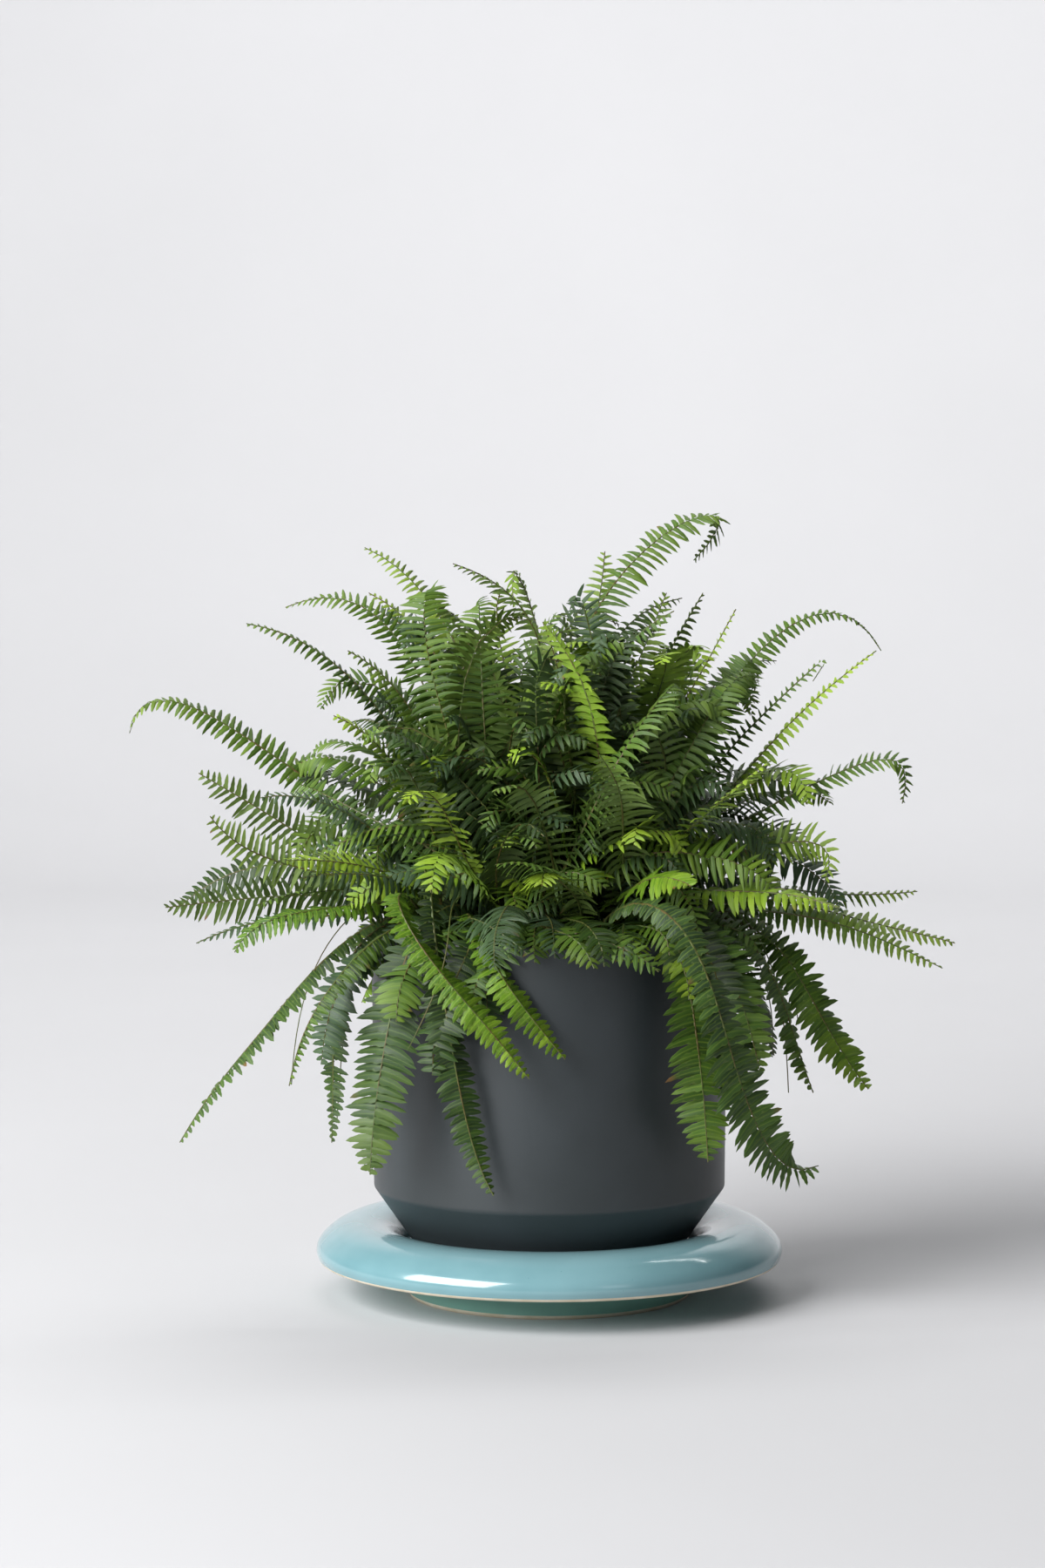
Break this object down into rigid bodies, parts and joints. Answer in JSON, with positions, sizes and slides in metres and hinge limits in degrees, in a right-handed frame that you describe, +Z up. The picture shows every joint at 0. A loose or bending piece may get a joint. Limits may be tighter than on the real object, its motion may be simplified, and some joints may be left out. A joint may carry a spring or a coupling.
{
  "type": "potted boston fern",
  "caption": "Dense Boston fern with long arching and hanging fronds, in a plain matte straight-sided planter that stands in a thick glazed ring-shaped saucer.",
  "frame": {"origin": "centre of the saucer's flat foot, on the surface that the object stands on", "axes": "+Z up; +X to the right and -Y toward the viewer, as the picture shows the plant"},
  "size_m": [0.4622, 0.3993, 0.4352],
  "materials": {
    "glaze": "gloss",
    "pot_body": "matte",
    "soil_mix": "matte",
    "leaf_dark": "satin",
    "leaf_mid": "satin",
    "leaf_bright": "satin"
  },
  "bodies": {
    "root": {"saucer": "glaze", "pot": "pot_body", "soil": "soil_mix", "crown": "leaf_mid", "frond_01": "leaf_mid", "frond_02": "leaf_mid", "frond_03": "leaf_mid", "frond_04": "leaf_mid", "frond_05": "leaf_dark", "frond_06": "leaf_bright", "frond_07": "leaf_mid", "frond_08": "leaf_dark", "frond_09": "leaf_mid", "frond_10": "leaf_dark", "frond_11": "leaf_bright", "frond_12": "leaf_bright", "frond_13": "leaf_dark", "frond_14": "leaf_bright", "frond_15": "leaf_mid", "frond_16": "leaf_mid", "frond_17": "leaf_mid", "frond_18": "leaf_dark", "frond_19": "leaf_bright", "frond_20": "leaf_bright", "frond_21": "leaf_bright", "frond_22": "leaf_bright", "frond_23": "leaf_mid", "frond_24": "leaf_mid", "frond_25": "leaf_mid", "frond_26": "leaf_mid", "frond_27": "leaf_mid", "frond_28": "leaf_mid", "frond_29": "leaf_mid", "frond_30": "leaf_mid", "frond_31": "leaf_mid", "frond_32": "leaf_bright", "frond_33": "leaf_mid", "frond_34": "leaf_mid", "frond_35": "leaf_mid", "frond_36": "leaf_mid", "frond_37": "leaf_bright", "frond_38": "leaf_bright", "frond_39": "leaf_dark", "frond_40": "leaf_mid", "frond_41": "leaf_mid", "frond_42": "leaf_mid", "frond_43": "leaf_dark", "frond_44": "leaf_dark", "frond_45": "leaf_dark", "frond_46": "leaf_dark", "frond_47": "leaf_dark", "frond_48": "leaf_mid", "frond_49": "leaf_dark", "frond_50": "leaf_dark", "frond_51": "leaf_dark", "frond_52": "leaf_dark", "frond_53": "leaf_dark", "frond_54": "leaf_mid", "frond_55": "leaf_dark", "frond_56": "leaf_dark"}
  },
  "joints": []
}
